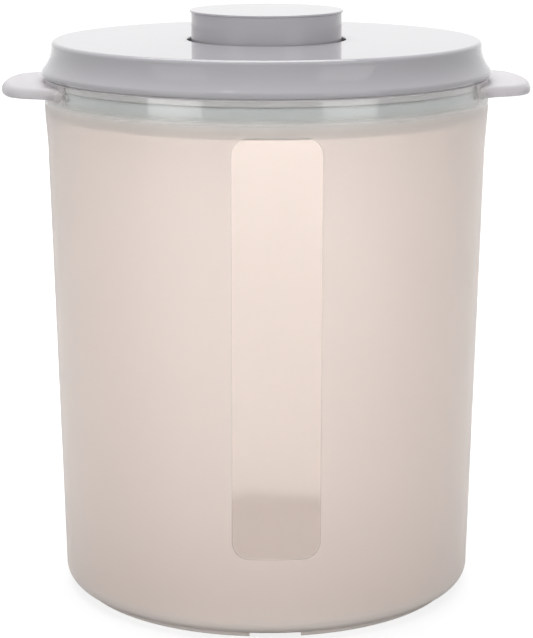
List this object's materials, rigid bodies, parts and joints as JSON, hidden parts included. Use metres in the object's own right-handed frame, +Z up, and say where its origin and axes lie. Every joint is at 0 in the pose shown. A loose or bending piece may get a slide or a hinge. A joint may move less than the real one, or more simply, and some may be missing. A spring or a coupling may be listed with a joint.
{
  "type": "rice bin with push-button airtight lid",
  "caption": "Round translucent food-storage bin with carrying tabs, a clear sight strip and a lift-off airtight lid sealed by a central push button.",
  "frame": {"origin": "centre of the foot ring, on the surface that the bin stands on", "axes": "+Z up along the bin's axis; -Y the front with the sight strip; carrying tabs at -X and +X"},
  "size_m": [0.307, 0.261, 0.342],
  "materials": {
    "bin_plastic": "frosted translucent polypropylene; the sight strip is the same wall polished clear",
    "lid_plastic": "glossy light grey moulding",
    "carrier_plastic": "satin light grey moulding",
    "seal_silicone": "soft grey-green silicone, satin",
    "mechanism_plastic": "natural acetal, fine satin",
    "bright_steel": "bright drawn wire and plated screws"
  },
  "bodies": {
    "bin": {"bin_body": "bin_plastic"},
    "lid": {"lid_cover": "lid_plastic", "seal_carrier": "carrier_plastic", "seal_ring": "seal_silicone", "return_spring": "bright_steel", "lever_pins": "bright_steel", "cover_screws": "bright_steel"},
    "button": {"button_cap": "lid_plastic", "cam_stem": "mechanism_plastic", "stem_screws": "bright_steel"},
    "plate": {"lift_plate": "carrier_plastic"},
    "lever_front": {"lever_front": "mechanism_plastic"},
    "lever_right": {"lever_right": "mechanism_plastic"},
    "lever_back": {"lever_back": "mechanism_plastic"},
    "lever_left": {"lever_left": "mechanism_plastic"},
    "latch": {"latch_pin": "bright_steel"}
  },
  "joints": [
    {"name": "lid_lift", "type": "slide", "parent": "bin", "child": "lid", "axis": [0, 0, 1], "range_m": [0, 0.08]},
    {"name": "button_press", "type": "slide", "parent": "lid", "child": "button", "axis": [0, 0, -1], "range_m": [0, 0.014], "stiffness_N_per_m": 200, "springref_m": -0.03, "deforming": ["return_spring"]},
    {"name": "plate_lift", "type": "slide", "parent": "lid", "child": "plate", "axis": [0, 0, 1], "range_m": [0, 0.0027], "deforming": ["seal_ring"]},
    {"name": "lever_front_rock", "type": "hinge", "parent": "lid", "child": "lever_front", "pos_m": [0, -0.084, 0.3039], "axis": [-1, 0, 0], "range_deg": [0, 19.36]},
    {"name": "lever_right_rock", "type": "hinge", "parent": "lid", "child": "lever_right", "pos_m": [0.084, 0, 0.3039], "axis": [0, -1, 0], "range_deg": [0, 19.36]},
    {"name": "lever_back_rock", "type": "hinge", "parent": "lid", "child": "lever_back", "pos_m": [0, 0.084, 0.3039], "axis": [1, 0, 0], "range_deg": [0, 19.36]},
    {"name": "lever_left_rock", "type": "hinge", "parent": "lid", "child": "lever_left", "pos_m": [-0.084, 0, 0.3039], "axis": [0, 1, 0], "range_deg": [0, 19.36]},
    {"name": "latch_swing", "type": "hinge", "parent": "lid", "child": "latch", "pos_m": [0, -0.014, 0.2949], "axis": [0, 1, 0], "range_deg": [0, 8.86]}
  ],
  "couplings": [
    {"joint": "plate_lift", "follows": "button_press", "ratio": 0.1928},
    {"joint": "lever_front_rock", "follows": "button_press", "rad_per_m": 24.12},
    {"joint": "lever_right_rock", "follows": "button_press", "rad_per_m": 24.12},
    {"joint": "lever_back_rock", "follows": "button_press", "rad_per_m": 24.12},
    {"joint": "lever_left_rock", "follows": "button_press", "rad_per_m": 24.12},
    {"joint": "latch_swing", "follows": "button_press", "rad_per_m": 11.03}
  ]
}
